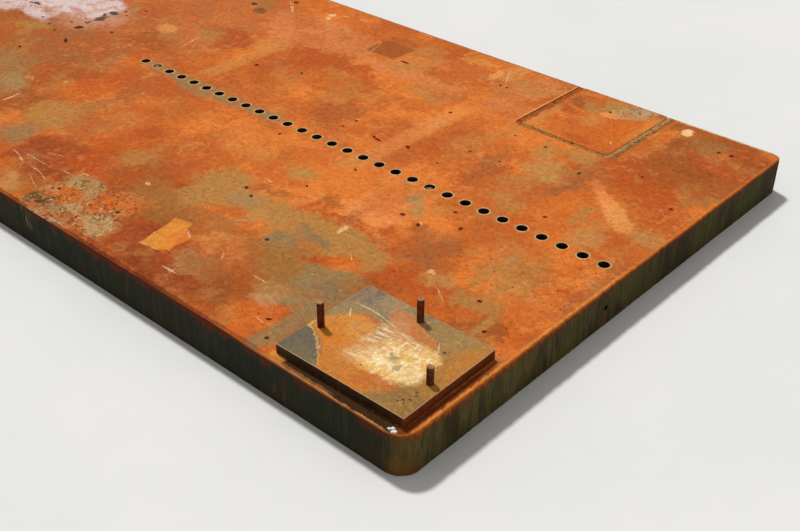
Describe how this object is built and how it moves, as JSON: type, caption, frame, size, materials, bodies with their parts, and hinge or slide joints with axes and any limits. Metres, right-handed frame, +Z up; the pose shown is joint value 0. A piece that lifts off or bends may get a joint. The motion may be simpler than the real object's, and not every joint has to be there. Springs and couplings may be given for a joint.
{
  "type": "steel plate",
  "caption": "Thick rectangular steel plate with a row of through holes, a welded inset at one edge and a studded pad on one corner.",
  "frame": {"origin": "on the floor, at the middle of the plate's underside", "axes": "+X along the plate to its flame-cut end, -Y to the long side that carries the pad, +Z up"},
  "size_m": [3.048, 1.524, 0.1886],
  "materials": {
    "plate_steel": "rough orange rust with mill scale patches",
    "weld_steel": "pitted grey-brown weld metal",
    "pad_steel": "scuffed and partly rusted",
    "stud_steel": "dark brown rust with bare ends"
  },
  "bodies": {
    "root": {"base_plate": "plate_steel", "inset_plate": "plate_steel", "inset_weld": "weld_steel", "pad_plate": "pad_steel", "stud_left": "stud_steel", "stud_back": "stud_steel", "stud_front": "stud_steel"}
  },
  "joints": []
}
